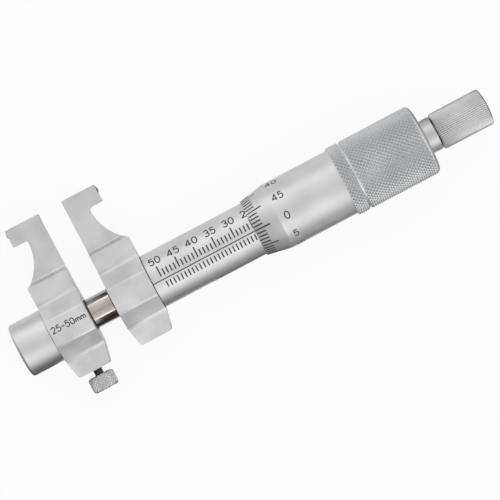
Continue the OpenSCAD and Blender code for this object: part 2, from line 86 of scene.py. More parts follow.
# Thimble: a wide knurled band at the rear and a narrow one in front of a groove
KNURL_REAR_W = 19.0 * MM
GROOVE_W = 0.55 * MM
KNURL_FRONT_W = 3.1 * MM
KNURL_REAR_X = THIMBLE_REAR - KNURL_REAR_W
GROOVE_X = KNURL_REAR_X - GROOVE_W
KNURL_FRONT_X = GROOVE_X - KNURL_FRONT_W
GROOVE_R = 8.6 * MM
KNURL_DEPTH = 0.34 * MM
KNURL_STARTS = 50
KNURL_PITCH = 1.13 * MM

# Steps of the rear rim's rounding, and the step where the knurl ends
ROUND_STEPS = 12
KNURL_STOP = 8

# Engraved marks: how far they stand out and reach in, their widths and heights
MARK_PROUD = 0.012 * MM
MARK_SUNK = 0.02 * MM
MARK_STEP = 0.3 * MM
LINE_W = 0.34 * MM
INDEX_W = 0.25 * MM
NUMBER_H = 1.92 * MM
NUMBER_W = 0.30 * MM
FINE_NUMBER_H = 1.8 * MM
FINE_NUMBER_W = 0.28 * MM
RANGE_H = 1.52 * MM
RANGE_W = 0.25 * MM
# Widths of the dark rings painted as shadow where the sleeve, the end cap and the guide tube meet the
# jaws
JOINT_SHADOW_W = 0.2 * MM
TUBE_SHADE_W = 0.45 * MM

# Scales: a number at every fifth line, and angles in degrees round the sleeve from its front
SCALE_LOW = 25
SCALE_HIGH = 50
FINE_DIVISIONS = 50
NUMBERED = 5
INDEX_ANGLE = -6.0
LINE_FROM = 1.2
LINE_TO = 14.9
LONG_LINE_TO = 24.5
HALF_LINE_FROM = -25.0
HALF_LINE_TO = -11.4
NUMBER_ANGLE = 38.2

# Turned shapes: sides of a large and a small one, and the angles below which edges look smooth
LARGE_SIDES = 256
SMALL_SIDES = 128
SMOOTH_BELOW = 30.0
FACETED = 1.0


# Meshes

def finish_mesh(name, bm, body, smooth_below=SMOOTH_BELOW):
    """Makes an object of a bmesh, with smooth faces and sharp edges, and rides it on a body."""
    bmesh.ops.recalc_face_normals(bm, faces=bm.faces)
    limit = math.radians(smooth_below)
    for face in bm.faces:
        face.smooth = True
    for edge in bm.edges:
        edge.smooth = edge.is_manifold and edge.calc_face_angle(0.0) < limit
    mesh = bpy.data.meshes.new(name)
    bm.to_mesh(mesh)
    bm.free()
    piece = bpy.data.objects.new(name, mesh)
    bpy.context.scene.collection.objects.link(piece)
    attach(piece, body)
    return piece


def eased(points, size, steps=3):
    """A profile with each inside point rounded off by an arc-like curve of about that size."""
    most = 0.45
    result = [points[0]]
    for before, corner, after in zip(points, points[1:], points[2:]):
        corner_v = Vector(corner)
        to_before = Vector(before) - corner_v
        to_after = Vector(after) - corner_v
        reach = min(size, to_before.length * most, to_after.length * most)
        start = corner_v + to_before.normalized() * reach
        end = corner_v + to_after.normalized() * reach
        for step in range(steps + 1):
            t = step / steps
            result.append(tuple(start.lerp(corner_v, t).lerp(corner_v.lerp(end, t), t)))
    result.append(points[-1])
    return result


def ring_of(bm, x, radius_at, count):
    """A ring of vertices about the X axis, with a radius for each index."""
    ring = []
    for i in range(count):
        angle = 2 * math.pi * i / count
        radius = radius_at(i)
        ring.append(bm.verts.new((x, radius * math.sin(angle), radius * math.cos(angle))))
    return ring


def join_rings(bm, first, second):
    count = len(first)
    for i in range(count):
        j = (i + 1) % count
        bm.faces.new((first[i], first[j], second[j], second[i]))


def join_in_turn(bm, rings):
    for first, second in zip(rings, rings[1:]):
        join_rings(bm, first, second)


def close_ends(bm, rings):
    for ring in (rings[0], rings[-1]):
        bm.faces.new(ring)


def lathe(bm, profile, count, closed=True):
    """Turns a profile of (x, radius) about the X axis. A closed one is a ring-shaped solid."""
    rings = [ring_of(bm, x, lambda i, r=radius: r, count) for x, radius in profile]
    join_in_turn(bm, rings)
    if closed:
        join_rings(bm, rings[-1], rings[0])
    else:
        close_ends(bm, rings)


def walk(path, count):
    """Points evenly spaced along a path of (x, radius)."""
    slack = 1e-12
    points = [Vector(p) for p in path]
    lengths = [0.0]
    for first, second in zip(points, points[1:]):
        lengths.append(lengths[-1] + (second - first).length)
    result = []
    for k in range(count + 1):
        goal = lengths[-1] * k / count
        leg = next(i for i in range(1, len(points)) if lengths[i] >= goal - slack)
        share = (goal - lengths[leg - 1]) / (lengths[leg] - lengths[leg - 1])
        result.append(points[leg - 1].lerp(points[leg], share))
    return result


def knurl(bm, path, starts, pitch, depth, inner_r):
    """A ring with a diamond knurl, cut off by a path of (x, radius) where that turns inward."""
    length = sum((Vector(b) - Vector(a)).length for a, b in zip(path, path[1:]))
    rows = 2 * max(2, round(length / pitch))
    count = 2 * starts
    valley_r = max(radius for x, radius in path) - depth
    rings = []
    for j, (x, radius) in enumerate(walk(path, rows)):
        levels = (min(radius, valley_r), radius)
        rings.append(ring_of(bm, x, lambda i, row=j, pair=levels: pair[(i + row) % 2], count))
    for j, (first, second) in enumerate(zip(rings, rings[1:])):
        for i in range(count):
            k = (i + 1) % count
            if (i + j) % 2 == 0:
                bm.faces.new((first[i], first[k], second[k]))
                bm.faces.new((first[i], second[k], second[i]))
            else:
                bm.faces.new((first[i], first[k], second[i]))
                bm.faces.new((first[k], second[k], second[i]))
    near = ring_of(bm, path[0][0], lambda i: inner_r, count)
    far = ring_of(bm, path[-1][0], lambda i: inner_r, count)
    join_rings(bm, near, rings[0])
    join_rings(bm, rings[-1], far)
    join_rings(bm, far, near)


# Materials

# Where most of a noise's values lie
NOISE_LOW = 0.3
NOISE_HIGH = 0.7

# Stretch of a grain along X, Y and Z
EVEN = (1.0, 1.0, 1.0)
TURNED = (6.0, 0.5, 0.5)

ALONG_SPINDLE = (1, 0, 0)
UP_ARMS = (0, 1, 0)
DULL = 0.9


def grey(level):
    return (level, level, level)


def new_material(name):
    material = bpy.data.materials.new(name)
    material.use_nodes = True
    tree = material.node_tree
    shader = tree.nodes["Principled BSDF"]
    return material, tree, shader


def texture_noise(tree, scale, stretch=EVEN, detail=3.0):
    """Noise in the frame's own metres, with stretch as the scale along X, Y and Z."""
    place = tree.nodes.new("ShaderNodeTexCoord")
    mapping = tree.nodes.new("ShaderNodeMapping")
    mapping.inputs["Scale"].default_value = stretch
    noise = tree.nodes.new("ShaderNodeTexNoise")
    noise.inputs["Scale"].default_value = scale
    noise.inputs["Detail"].default_value = detail
    tree.links.new(place.outputs["Object"], mapping.inputs["Vector"])
    tree.links.new(mapping.outputs["Vector"], noise.inputs["Vector"])
    return noise.outputs["Fac"]


def reach_along(tree, kind, direction):
    """How far a place in the frame, or a direction in the sky, reaches along a unit vector."""
    place = tree.nodes.new("ShaderNodeTexCoord")
    product = tree.nodes.new("ShaderNodeVectorMath")
    product.operation = "DOT_PRODUCT"
    product.inputs[1].default_value = direction
    tree.links.new(place.outputs[kind], product.inputs[0])
    return product.outputs["Value"]


def remap(tree, value, low, high, from_low=NOISE_LOW, from_high=NOISE_HIGH):
    """A value moved from one range to another, and kept inside it."""
    node = tree.nodes.new("ShaderNodeMapRange")
    node.inputs["From Min"].default_value = from_low
    node.inputs["From Max"].default_value = from_high
    node.inputs["To Min"].default_value = low
    node.inputs["To Max"].default_value = high
    tree.links.new(value, node.inputs["Value"])
    return node.outputs["Result"]


def math_node(tree, operation, value):
    """A node that works on a value and on a second one that is still to be given."""
    node = tree.nodes.new("ShaderNodeMath")
    node.operation = operation
    tree.links.new(value, node.inputs[0])
    return node


def multiplied(tree, first, second):
    """The product of two colours."""
    node = tree.nodes.new("ShaderNodeMix")
    node.data_type = "RGBA"
    node.blend_type = "MULTIPLY"
    node.inputs["Factor"].default_value = 1.0
    tree.links.new(first, node.inputs["A"])
    tree.links.new(second, node.inputs["B"])
    return node.outputs["Result"]


def colour_by(tree, shader, value, dark, light, from_low=NOISE_LOW, from_high=NOISE_HIGH):
    """Colours a surface from dark to light while a value goes from low to high."""
    node = tree.nodes.new("ShaderNodeMix")
    node.data_type = "RGBA"
    node.inputs["A"].default_value = (*dark, 1)
    node.inputs["B"].default_value = (*light, 1)
    tree.links.new(remap(tree, value, 0, 1, from_low, from_high), node.inputs["Factor"])
    tree.links.new(node.outputs["Result"], shader.inputs["Base Color"])


def bumped(tree, shader, value, strength, depth):
    """Gives a surface a fine relief."""
    node = tree.nodes.new("ShaderNodeBump")
    node.inputs["Strength"].default_value = strength
    node.inputs["Distance"].default_value = depth
    tree.links.new(value, node.inputs["Height"])
    tree.links.new(node.outputs["Normal"], shader.inputs["Normal"])


def metal(name, dark, light, rough, grain, stretch=EVEN, bump=0.15):
    """Metal with a fine grain in its gloss and relief, and a drift of colour."""
    material, tree, shader = new_material(name)
    shader.inputs["Metallic"].default_value = 1.0
    drift = texture_noise(tree, scale=140.0, detail=6.0)
    fine = texture_noise(tree, grain, stretch)
    colour_by(tree, shader, drift, dark, light, from_low=0.36, from_high=0.64)
    tree.links.new(remap(tree, fine, rough[0], rough[1]), shader.inputs["Roughness"])
    bumped(tree, shader, fine, bump, depth=0.01 * MM)
    return material


satin_flat = metal(
    "satin_chrome_flat", (0.565, 0.565, 0.570), (0.675, 0.675, 0.680),
    rough=(0.50, 0.60), grain=7000.0, bump=0.6,
)
satin_turned = metal(
    "satin_chrome_turned", (0.555, 0.555, 0.562), (0.615, 0.615, 0.622),
    rough=(0.36, 0.46), grain=3000.0, stretch=TURNED, bump=0.4,
)
satin_knurl = metal(
    "satin_chrome_knurl", (0.56, 0.565, 0.574), (0.615, 0.62, 0.63),
    rough=(0.42, 0.54), grain=9000.0,
)
satin_grip = metal(
    "satin_chrome_grip", (0.62, 0.625, 0.635), (0.68, 0.685, 0.695),
    rough=(0.38, 0.50), grain=9000.0,
)
# A darker satin chrome for the knob's flutes. On the ratchet neck it is painted shade, cast by the
# thimble's rear face.
satin_flutes_and_shaded_neck = metal(
    "satin_chrome_flutes_and_shaded_neck", grey(0.46), grey(0.54),
    rough=(0.28, 0.40), grain=9000.0,
)
polished = metal(
    "polished_steel", (0.350, 0.322, 0.298), (0.395, 0.367, 0.342),
    rough=(0.10, 0.14), grain=5000.0, stretch=TURNED, bump=0.03,
)
machined = metal(
    "machined_steel", (0.46, 0.46, 0.47), (0.52, 0.52, 0.53),
    rough=(0.25, 0.40), grain=4000.0, stretch=TURNED,
)
blackened = metal(
    "blackened_steel", (0.16, 0.16, 0.162), (0.22, 0.22, 0.222),
    rough=(0.35, 0.5), grain=6000.0,
)
carbide = metal(
    "ground_carbide", (0.045, 0.045, 0.047), (0.075, 0.075, 0.078),
    rough=(0.22, 0.34), grain=9000.0,
)
bronze = metal(
    "bearing_bronze", (0.55, 0.38, 0.18), (0.62, 0.45, 0.22),
    rough=(0.25, 0.4), grain=5000.0, stretch=TURNED,
)


def grind_round(material, strength):
    """Makes a turned metal scatter light along the spindle, as fine grinding lines round it do."""
    quarter_turn = 0.25
    tree = material.node_tree
    shader = tree.nodes["Principled BSDF"]
    shader.inputs["Anisotropic"].default_value = strength
    shader.inputs["Anisotropic Rotation"].default_value = quarter_turn
    tangent = tree.nodes.new("ShaderNodeTangent")
    tangent.direction_type = "RADIAL"
    tangent.axis = "X"
    tree.links.new(tangent.outputs["Tangent"], shader.inputs["Tangent"])


grind_round(polished, strength=0.85)


def shade_arms(material, low, high):
    """Paints shade into a metal's colour, a little darker from the lugs up to the measuring noses."""
    lug_y = -12 * MM
    nose_y = 26 * MM
    tree = material.node_tree
    shader = tree.nodes["Principled BSDF"]
    colour = shader.inputs["Base Color"].links[0].from_socket
    shade = remap(tree, reach_along(tree, "Object", UP_ARMS), high, low, lug_y, nose_y)
    tree.links.new(multiplied(tree, colour, shade), shader.inputs["Base Color"])


# Painted shade: the jaws' colour darkens a little from the lugs towards the noses.
shade_arms(satin_flat, low=0.88, high=1.06)


def mark_paint():
    """Dull dark filling of the engraved lines and numbers, also the painted shadow at the joints."""
    material, tree, shader = new_material("mark_paint")
    mottle = texture_noise(tree, scale=5000.0)
    colour_by(tree, shader, mottle, dark=(0.010, 0.010, 0.011), light=(0.028, 0.028, 0.030))
    tree.links.new(remap(tree, mottle, low=0.5, high=0.7), shader.inputs["Roughness"])
    return material


paint = mark_paint()


def dress(piece, material):
    """Gives a piece one finish. Without a slot of its own it is only paint or a mark."""
    piece.data.materials.clear()
    piece.data.materials.append(material)


# Pieces that keep their own solids

NODE_FINISH = {
    satin_flat: ["fixed_jaw", "moving_jaw"],
    satin_turned: ["end_cap", "sleeve"],
    # Painted shade: the ratchet neck takes the darker satin chrome.
    satin_flutes_and_shaded_neck: ["ratchet_shank"],
    polished: ["guide_tube", "spindle"],
    machined: [
        "inner_sleeve", "adjusting_nut", "guide_key", "spindle_nut", "ratchet_spring", "ratchet_wheel",
        "retaining_ring",
    ],
    blackened: ["key_screw"],
    carbide: ["fixed_tip", "moving_tip"],
    bronze: ["front_thrust_washer", "rear_thrust_washer", "clamp_plug"],
}
for finish, names in NODE_FINISH.items():
    for name in names:
        for entry in nodes[name].material_slots:
            entry.material = finish


def break_edges(node, width):
    """Gives a solid's sharp edges a small bevel that catches the light."""
    piece = nodes[node]
    weld = piece.modifiers.new("weld", "WELD")
    weld.merge_threshold = 0.0005 * MM
    flat = piece.modifiers.new("flat faces", "DECIMATE")
    flat.decimate_type = "DISSOLVE"
    flat.angle_limit = math.radians(0.5)
    bevel = piece.modifiers.new("edge break", "BEVEL")
    bevel.width = width
    bevel.segments = 2
    bevel.limit_method = "ANGLE"
    bevel.angle_limit = math.radians(30)
    bevel.harden_normals = True


for jaw in ("fixed_jaw", "moving_jaw"):
    break_edges(jaw, width=0.12 * MM)


# Thimble

def make_thimble():
    """A shell with a bevel, a drum and a groove, and two knurled bands let into it."""
    lip = 0.12 * MM
    band_foot = 0.4 * MM
    below_valleys = 1.6
    under_r = KNURL_R - below_valleys * KNURL_DEPTH
    wall_x = THIMBLE_REAR - THIMBLE_WALL
    centre_x = THIMBLE_REAR - THIMBLE_ROUND
    centre_r = KNURL_R - THIMBLE_ROUND
    rounding = []
    for step in range(ROUND_STEPS + 1):
        turn = math.pi / 2 * step / ROUND_STEPS
        x = centre_x + THIMBLE_ROUND * math.sin(turn)
        rounding.append((x, centre_r + THIMBLE_ROUND * math.cos(turn)))
    rim_x, rim_r = rounding[KNURL_STOP]
    outside = eased([
        (THIMBLE_FRONT, THIMBLE_BORE_R), (THIMBLE_FRONT, BEVEL_R), (BEVEL_END, DRUM_R),
        (KNURL_FRONT_X, DRUM_R), (KNURL_FRONT_X, under_r), (GROOVE_X, under_r),
        (GROOVE_X, GROOVE_R), (KNURL_REAR_X, GROOVE_R), (KNURL_REAR_X, under_r),
        (centre_x, under_r), (rim_x, rim_r - band_foot),
    ], size=0.06 * MM)
    inside = [(THIMBLE_REAR, THIMBLE_SEAT_R), (wall_x, THIMBLE_SEAT_R), (wall_x, THIMBLE_BORE_R)]
    bm = bmesh.new()
    lathe(bm, outside + rounding[KNURL_STOP:] + inside, LARGE_SIDES)
    shell = finish_mesh("thimble_shell", bm, "spindle", smooth_below=25.0)
    dress(shell, satin_turned)
    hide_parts("thimble")

    front_path = [
        (KNURL_FRONT_X, KNURL_R - lip), (KNURL_FRONT_X + lip, KNURL_R),
        (GROOVE_X - lip, KNURL_R), (GROOVE_X, KNURL_R - lip),
    ]
    rear_path = [
        (KNURL_REAR_X, KNURL_R - lip), (KNURL_REAR_X + lip, KNURL_R),
        *rounding[:KNURL_STOP + 1],
    ]
    for name, path, inner_r in (
        ("thimble_knurl_front", front_path, DRUM_R - band_foot),
        ("thimble_knurl_rear", rear_path, centre_r - band_foot),
    ):
        bm = bmesh.new()
        knurl(bm, path, KNURL_STARTS, KNURL_PITCH, KNURL_DEPTH, inner_r)
        dress(finish_mesh(name, bm, "spindle", FACETED), satin_knurl)


make_thimble()


# Ratchet knob with fine straight flutes

def make_knob():
    """A knob with rounded flutes, a low domed end and a bore for the ratchet."""
    flutes = 56
    per_flute = 6
    count = flutes * per_flute
    flute_depth = 0.22 * MM
    flute_shape = 1.5
    edge = 0.35 * MM
    edge_r = KNOB_R - edge
    dome = 0.5 * MM
    dome_x = KNOB_REAR - dome
    dome_rings = 8
    bore_r = 3.5 * MM
    bore_end = KNOB_REAR - 3.0 * MM

    def flute_r(i):
        wave = 0.5 - 0.5 * math.cos(2 * math.pi * i / per_flute)
        return KNOB_R - flute_depth * wave ** flute_shape

    limits = [
        (KNOB_FRONT, edge_r), (KNOB_FRONT + edge, KNOB_R),
        (dome_x - edge, KNOB_R), (dome_x, edge_r),
    ]
    for step in range(1, dome_rings):
        radius = edge_r * (1 - step / dome_rings)
        limits.append((KNOB_REAR - dome * (radius / edge_r) ** 2, radius))
    bm = bmesh.new()
    rings = [ring_of(bm, KNOB_FRONT, lambda i: bore_r, count)]
    for x, limit in limits:
        rings.append(ring_of(bm, x, lambda i, top=limit: min(top, flute_r(i)), count))
    join_in_turn(bm, rings)
    apex = bm.verts.new((KNOB_REAR, 0, 0))
    for i in range(count):
        bm.faces.new((rings[-1][i], rings[-1][(i + 1) % count], apex))
    floor_ring = ring_of(bm, bore_end, lambda i: bore_r, count)
    join_rings(bm, floor_ring, rings[0])
    bm.faces.new(floor_ring)
    knob = finish_mesh("ratchet_grip", bm, "ratchet", smooth_below=40.0)
    dress(knob, satin_flutes_and_shaded_neck)
    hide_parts("ratchet_knob")


make_knob()


# Clamp screw: a head with a knurled grip round it, and a threaded shank

CLAMP_HEAD_H = 3.9 * MM
CLAMP_EDGE = 0.5 * MM
CLAMP_CORE_R = CLAMP_HEAD_R - 0.5 * MM
CLAMP_SHANK_R = 1.2 * MM


def clamp_piece(name, bm, smooth_below):
    """Stands a shape that was made along X up along Y, in the clamp screw's place."""
    to_place = Matrix.Translation((CLAMP_X, CLAMP_LOW, 0)) @ Matrix.Rotation(math.pi / 2, 4, "Z")
    bmesh.ops.transform(bm, matrix=to_place, verts=bm.verts)
    return finish_mesh(name, bm, "clamp_screw", smooth_below)


def make_clamp_head():
    """The head's core, with slightly crowned ends."""
    crown = 0.05 * MM
    end_r = CLAMP_CORE_R - CLAMP_EDGE
    rim_r = CLAMP_HEAD_R - CLAMP_EDGE
    side_r = CLAMP_HEAD_R - 0.25 * MM
    outline = eased([
        (0.0, end_r), (crown, rim_r), (CLAMP_EDGE, side_r),
        (CLAMP_HEAD_H - CLAMP_EDGE, side_r), (CLAMP_HEAD_H - crown, rim_r),
        (CLAMP_HEAD_H, end_r), (CLAMP_HEAD_H, CLAMP_SHANK_R / 2),
    ], size=0.08 * MM)
    bm = bmesh.new()
    lathe(bm, outline, SMALL_SIDES, closed=False)
    head = clamp_piece("clamp_screw_head", bm, SMOOTH_BELOW)
    dress(head, satin_turned)
    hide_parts("clamp_screw")


def make_clamp_grip():
    """The knurled ring round the head, sloped at both ends."""
    inset = 0.12 * MM
    slope = CLAMP_EDGE * 0.9
    end_r = CLAMP_HEAD_R - CLAMP_EDGE * 0.8
    foot_r = CLAMP_CORE_R - 0.3 * MM
    path = [
        (inset, end_r), (slope, CLAMP_HEAD_R),
        (CLAMP_HEAD_H - slope, CLAMP_HEAD_R), (CLAMP_HEAD_H - inset, end_r),
    ]
    bm = bmesh.new()
    knurl(bm, path, starts=25, pitch=0.84 * MM, depth=0.28 * MM, inner_r=foot_r)
    dress(clamp_piece("clamp_screw_knurl", bm, FACETED), satin_grip)


def make_clamp_thread():
    """The shank, with a rounded thread that starts inside the head."""
    pitch = 0.45 * MM
    thread_h = 0.18 * MM
    around = 48
    per_turn = 8
    first_x = CLAMP_HEAD_H - 0.1 * MM
    length = CLAMP_TOP - CLAMP_LOW - first_x
    rows = math.ceil(length / pitch * per_turn)

    def thread_r(x, i):
        wave = 0.5 - 0.5 * math.cos(2 * math.pi * (x / pitch + i / around))
        return CLAMP_SHANK_R - thread_h * wave

    bm = bmesh.new()
    places = [first_x + length * row / rows for row in range(rows + 1)]
    rings = [ring_of(bm, x, lambda i, at=x: thread_r(at, i), around) for x in places]
    join_in_turn(bm, rings)
    close_ends(bm, rings)
    dress(clamp_piece("clamp_screw_thread", bm, smooth_below=50.0), blackened)


make_clamp_head()
make_clamp_grip()
make_clamp_thread()


# Scales

def on_cylinder(radius):
    """Maps (along, up, proud) to a place on a cylinder about the X axis: up is an arc from the front."""
    def place(along, up, proud):
        angle = up / radius
        r = radius + proud
        return Vector((along, r * math.sin(angle), r * math.cos(angle)))
    return place


def on_bevel(along, up, proud):
    """Maps the same to the thimble's bevel, where up is an arc at the bevel's edge."""
    share = (along - THIMBLE_FRONT) / BEVEL_LENGTH
    r = BEVEL_R + (DRUM_R - BEVEL_R) * share + proud
    angle = up / BEVEL_R
    return Vector((along, r * math.sin(angle), r * math.cos(angle)))


def on_jaw_front(along, up, proud):
    return Vector((along, up, JAW_FRONT_Z + proud))


def stepped(points, step):
    """A path with points added so that none of its pieces is longer than a step."""
    result = [points[0]]
    for first, second in zip(points, points[1:]):
        pieces = max(1, math.ceil((second - first).length / step))
        result += [first.lerp(second, piece / pieces) for piece in range(1, pieces + 1)]
    return result


def stroke(bm, place, path, width):
    """A thin closed ribbon along a path of (along, up), let into the surface and bent onto it."""
    sharpest = 0.6
    points = stepped([Vector(p) for p in path], MARK_STEP)
    looped = (points[0] - points[-1]).length < width / 10
    if looped:
        points.pop()
    last = len(points) - 1
    edges = []
    for i, point in enumerate(points):
        before = points[i - 1] if looped or i > 0 else point
        after = points[(i + 1) % len(points)] if looped or i < last else point
        into = (point - before).normalized()
        out = (after - point).normalized()
        if into.length == 0:
            into = out
        if out.length == 0:
            out = into
        side = Vector((-into.y - out.y, into.x + out.x)).normalized()
        reach = width / 2 / max(sharpest, side.dot(Vector((-into.y, into.x))))
        edges.append((point + side * reach, point - side * reach))
    low = [[bm.verts.new(place(p.x, p.y, -MARK_SUNK)) for p in pair] for pair in edges]
    high = [[bm.verts.new(place(p.x, p.y, MARK_PROUD)) for p in pair] for pair in edges]
    for i in range(len(edges) if looped else last):
        j = (i + 1) % len(edges)
        for layer in (low, high):
            bm.faces.new((layer[i][0], layer[i][1], layer[j][1], layer[j][0]))
        for side in (0, 1):
            bm.faces.new((low[i][side], low[j][side], high[j][side], high[i][side]))
    if not looped:
        for i in (0, last):
            bm.faces.new((low[i][0], low[i][1], high[i][1], high[i][0]))


def bow(centre, reach, start, end, steps=14):
    """Points on an ellipse's arc, in shares of a character's height."""
    result = []
    for step in range(steps + 1):
        turn = math.radians(start + (end - start) * step / steps)
        result.append((centre[0] + reach[0] * math.cos(turn), centre[1] + reach[1] * math.sin(turn)))
    return result


# Engraved characters: a width and the strokes, in shares of the height
CHARACTERS = {
    "0": (0.62, [bow((0.31, 0.5), (0.31, 0.5), 0, 360, 28)]),
    "1": (0.30, [[(0.04, 0.78), (0.22, 1.0), (0.22, 0.0)]]),
    "2": (0.62, [bow((0.31, 0.71), (0.29, 0.29), 170, -35) + [(0.0, 0.0), (0.62, 0.0)]]),
    "3": (0.60, [bow((0.29, 0.75), (0.25, 0.25), 155, -90) + bow((0.29, 0.26), (0.31, 0.26), 78, -155)]),
    "4": (0.68, [[(0.48, 0.0), (0.48, 1.0), (0.0, 0.27), (0.68, 0.27)]]),
    "5": (0.60, [[(0.56, 1.0), (0.10, 1.0), (0.05, 0.55)] + bow((0.28, 0.33), (0.32, 0.33), 125, -150)]),
    "-": (0.46, [[(0.0, 0.46), (0.46, 0.46)]]),
    "m": (0.72, [
        [(0.0, 0.0), (0.0, 0.56)],
        bow((0.18, 0.36), (0.18, 0.2), 180, 0, 8) + [(0.36, 0.0)],
        bow((0.54, 0.36), (0.18, 0.2), 180, 0, 8) + [(0.72, 0.0)],
    ]),
}
CHARACTER_GAP = 0.25


def engrave(bm, words, height, width, place, along, up):
    """Adds characters to a bmesh, centred at a place along and up, bent onto the surface."""
    total = sum(CHARACTERS[letter][0] + CHARACTER_GAP for letter in words) - CHARACTER_GAP
    start = along - total * height / 2
    for letter in words:
        wide, strokes = CHARACTERS[letter]
        for path in strokes:
            points = [(start + x * height, up + (y - 0.5) * height) for x, y in path]
            stroke(bm, place, points, width)
        start += (wide + CHARACTER_GAP) * height


def arc(radius, degrees):
    return radius * math.radians(degrees)


def make_sleeve_scale():
    """An index line, a line for each millimetre above it and one for each half below it."""
    front_gap = 0.02 * MM
    rear_gap = 0.1 * MM
    number_shift = 0.15 * MM
    place = on_cylinder(SLEEVE_R)
    bm = bmesh.new()

    def cross_line(x, start, end):
        stroke(bm, place, [(x, arc(SLEEVE_R, start)), (x, arc(SLEEVE_R, end))], LINE_W)

    index = arc(SLEEVE_R, INDEX_ANGLE)
    stroke(bm, place, [(SLEEVE_FRONT + front_gap, index), (SLEEVE_REAR - rear_gap, index)], INDEX_W)
    spaces = SCALE_HIGH - SCALE_LOW
    first = THIMBLE_FRONT - spaces * MM
    number_up = arc(SLEEVE_R, NUMBER_ANGLE)
    for count in range(spaces + 1):
        x = first + count * MM
        numbered = count % NUMBERED == 0
        cross_line(x, LINE_FROM, LONG_LINE_TO if numbered else LINE_TO)
        if numbered:
            engrave(bm, str(SCALE_HIGH - count), NUMBER_H, NUMBER_W, place, x + number_shift, number_up)
        if count < spaces:
            cross_line(x + MM / 2, HALF_LINE_FROM, HALF_LINE_TO)
    dress(finish_mesh("sleeve_scale", bm, "frame"), paint)


def make_thimble_scale():
    """Lines on the bevel and numbers on the drum, counted downwards round the front."""
    front_gap = 0.1 * MM
    line_length = 2.4 * MM
    long_line_length = 4.0 * MM
    numbers_x = BEVEL_END + 2.2 * MM
    bm = bmesh.new()
    drum = on_cylinder(DRUM_R)
    for count in range(FINE_DIVISIONS):
        degrees = INDEX_ANGLE - 360 * count / FINE_DIVISIONS
        up = arc(BEVEL_R, degrees)
        numbered = count % NUMBERED == 0
        length = long_line_length if numbered else line_length
        stroke(bm, on_bevel, [(THIMBLE_FRONT + front_gap, up), (THIMBLE_FRONT + length, up)], LINE_W)
        if numbered:
            engrave(bm, str(count), FINE_NUMBER_H, FINE_NUMBER_W, drum, numbers_x, arc(DRUM_R, degrees))
    dress(finish_mesh("thimble_scale", bm, "spindle"), paint)


def make_range_mark():
    """The measuring range, on the front of the moving jaw."""
    middle = (JAW_OUT + JAW_IN) / 2
    above_axis = 0.7 * MM
    bm = bmesh.new()
    engrave(bm, f"{SCALE_LOW}-{SCALE_HIGH}mm", RANGE_H, RANGE_W, on_jaw_front, middle, above_axis)
    dress(finish_mesh("range_mark", bm, "jaw_carriage"), paint)


def make_joints():
    """Thin dark rings where the sleeve, the end cap and the guide tube meet the jaws: painted shadow in
    the joints, and painted shade where the tube enters the jaws.
    """
    running_gap = 1.5 * MARK_SUNK
    over_tube = TUBE_R + running_gap
    for name, body, radius, x, width in (
        ("sleeve_joint_shadow", "frame", SLEEVE_R, SLEEVE_FRONT + JOINT_SHADOW_W / 2, JOINT_SHADOW_W),
        ("cap_joint_shadow", "jaw_carriage", CAP_R, JAW_OUT - JOINT_SHADOW_W / 2, JOINT_SHADOW_W),
        ("fixed_tube_shade", "frame", over_tube, FIXED_OUT - TUBE_SHADE_W / 2, TUBE_SHADE_W),
        ("moving_tube_shade", "jaw_carriage", over_tube, JAW_IN + JOINT_SHADOW_W, 2 * JOINT_SHADOW_W),
    ):
        low = radius - MARK_SUNK
        high = radius + MARK_PROUD
        left = x - width / 2
        right = x + width / 2
        bm = bmesh.new()
        lathe(bm, [(left, low), (left, high), (right, high), (right, low)], SMALL_SIDES)
        dress(finish_mesh(name, bm, body), paint)


make_sleeve_scale()
make_thimble_scale()
make_range_mark()
make_joints()


# Stage, light and camera

TUBE_GAP = (JAW_IN - 0.5 * MM, FIXED_OUT + 0.5 * MM)


def stage_sheet(name, corners):
    """One flat stage face."""
    bm = bmesh.new()
    bm.faces.new([bm.verts.new(corner) for corner in corners])
    mesh = bpy.data.meshes.new(name)
    bm.to_mesh(mesh)
    bm.free()
    sheet = bpy.data.objects.new(name, mesh)
    bpy.context.scene.collection.objects.link(sheet)
    return sheet


def floor_z(x):
    """The floor touches the lowest edge of the moving jaw and the lowest line of the thimble."""
    slope = (-KNURL_R - JAW_BACK_Z) / (KNURL_FRONT_X - JAW_OUT)
    drop = 0.03 * MM
    return JAW_BACK_Z + slope * (x - JAW_OUT) - drop


def make_floor():
    """A pale floor, seen nearly white, that keeps a soft shadow."""
    half = 2.5
    white_share = 0.9
    corners = [(-half, -half), (half, -half), (half, half), (-half, half)]
    floor = stage_sheet("floor", [(x, y, floor_z(x)) for x, y in corners])
    material, tree, shader = new_material("pale_floor")
    colour_by(tree, shader, texture_noise(tree, scale=30.0), dark=grey(0.90), light=grey(0.92))
    shader.inputs["Roughness"].default_value = DULL
    path = tree.nodes.new("ShaderNodeLightPath")
    seen = path.outputs["Is Camera Ray"]
    for ray in ("Is Glossy Ray", "Is Transmission Ray"):
        either = math_node(tree, "MAXIMUM", seen)
        tree.links.new(path.outputs[ray], either.inputs[1])
        seen = either.outputs["Value"]
    share = math_node(tree, "MULTIPLY", seen)
    share.inputs[1].default_value = white_share
    white = tree.nodes.new("ShaderNodeEmission")
    mix = tree.nodes.new("ShaderNodeMixShader")
    tree.links.new(share.outputs["Value"], mix.inputs["Fac"])
    tree.links.new(shader.outputs["BSDF"], mix.inputs[1])
    tree.links.new(white.outputs["Emission"], mix.inputs[2])
    tree.links.new(mix.outputs["Shader"], tree.nodes["Material Output"].inputs["Surface"])
    floor.data.materials.append(material)


def flat_card(left, right, near, far):
    """Corners of a card that lies on the floor."""
    above = 0.4 * MM
    corners = [(left, near), (right, near), (right, far), (left, far)]
    return [(x, y, floor_z(x) + above) for x, y in corners]


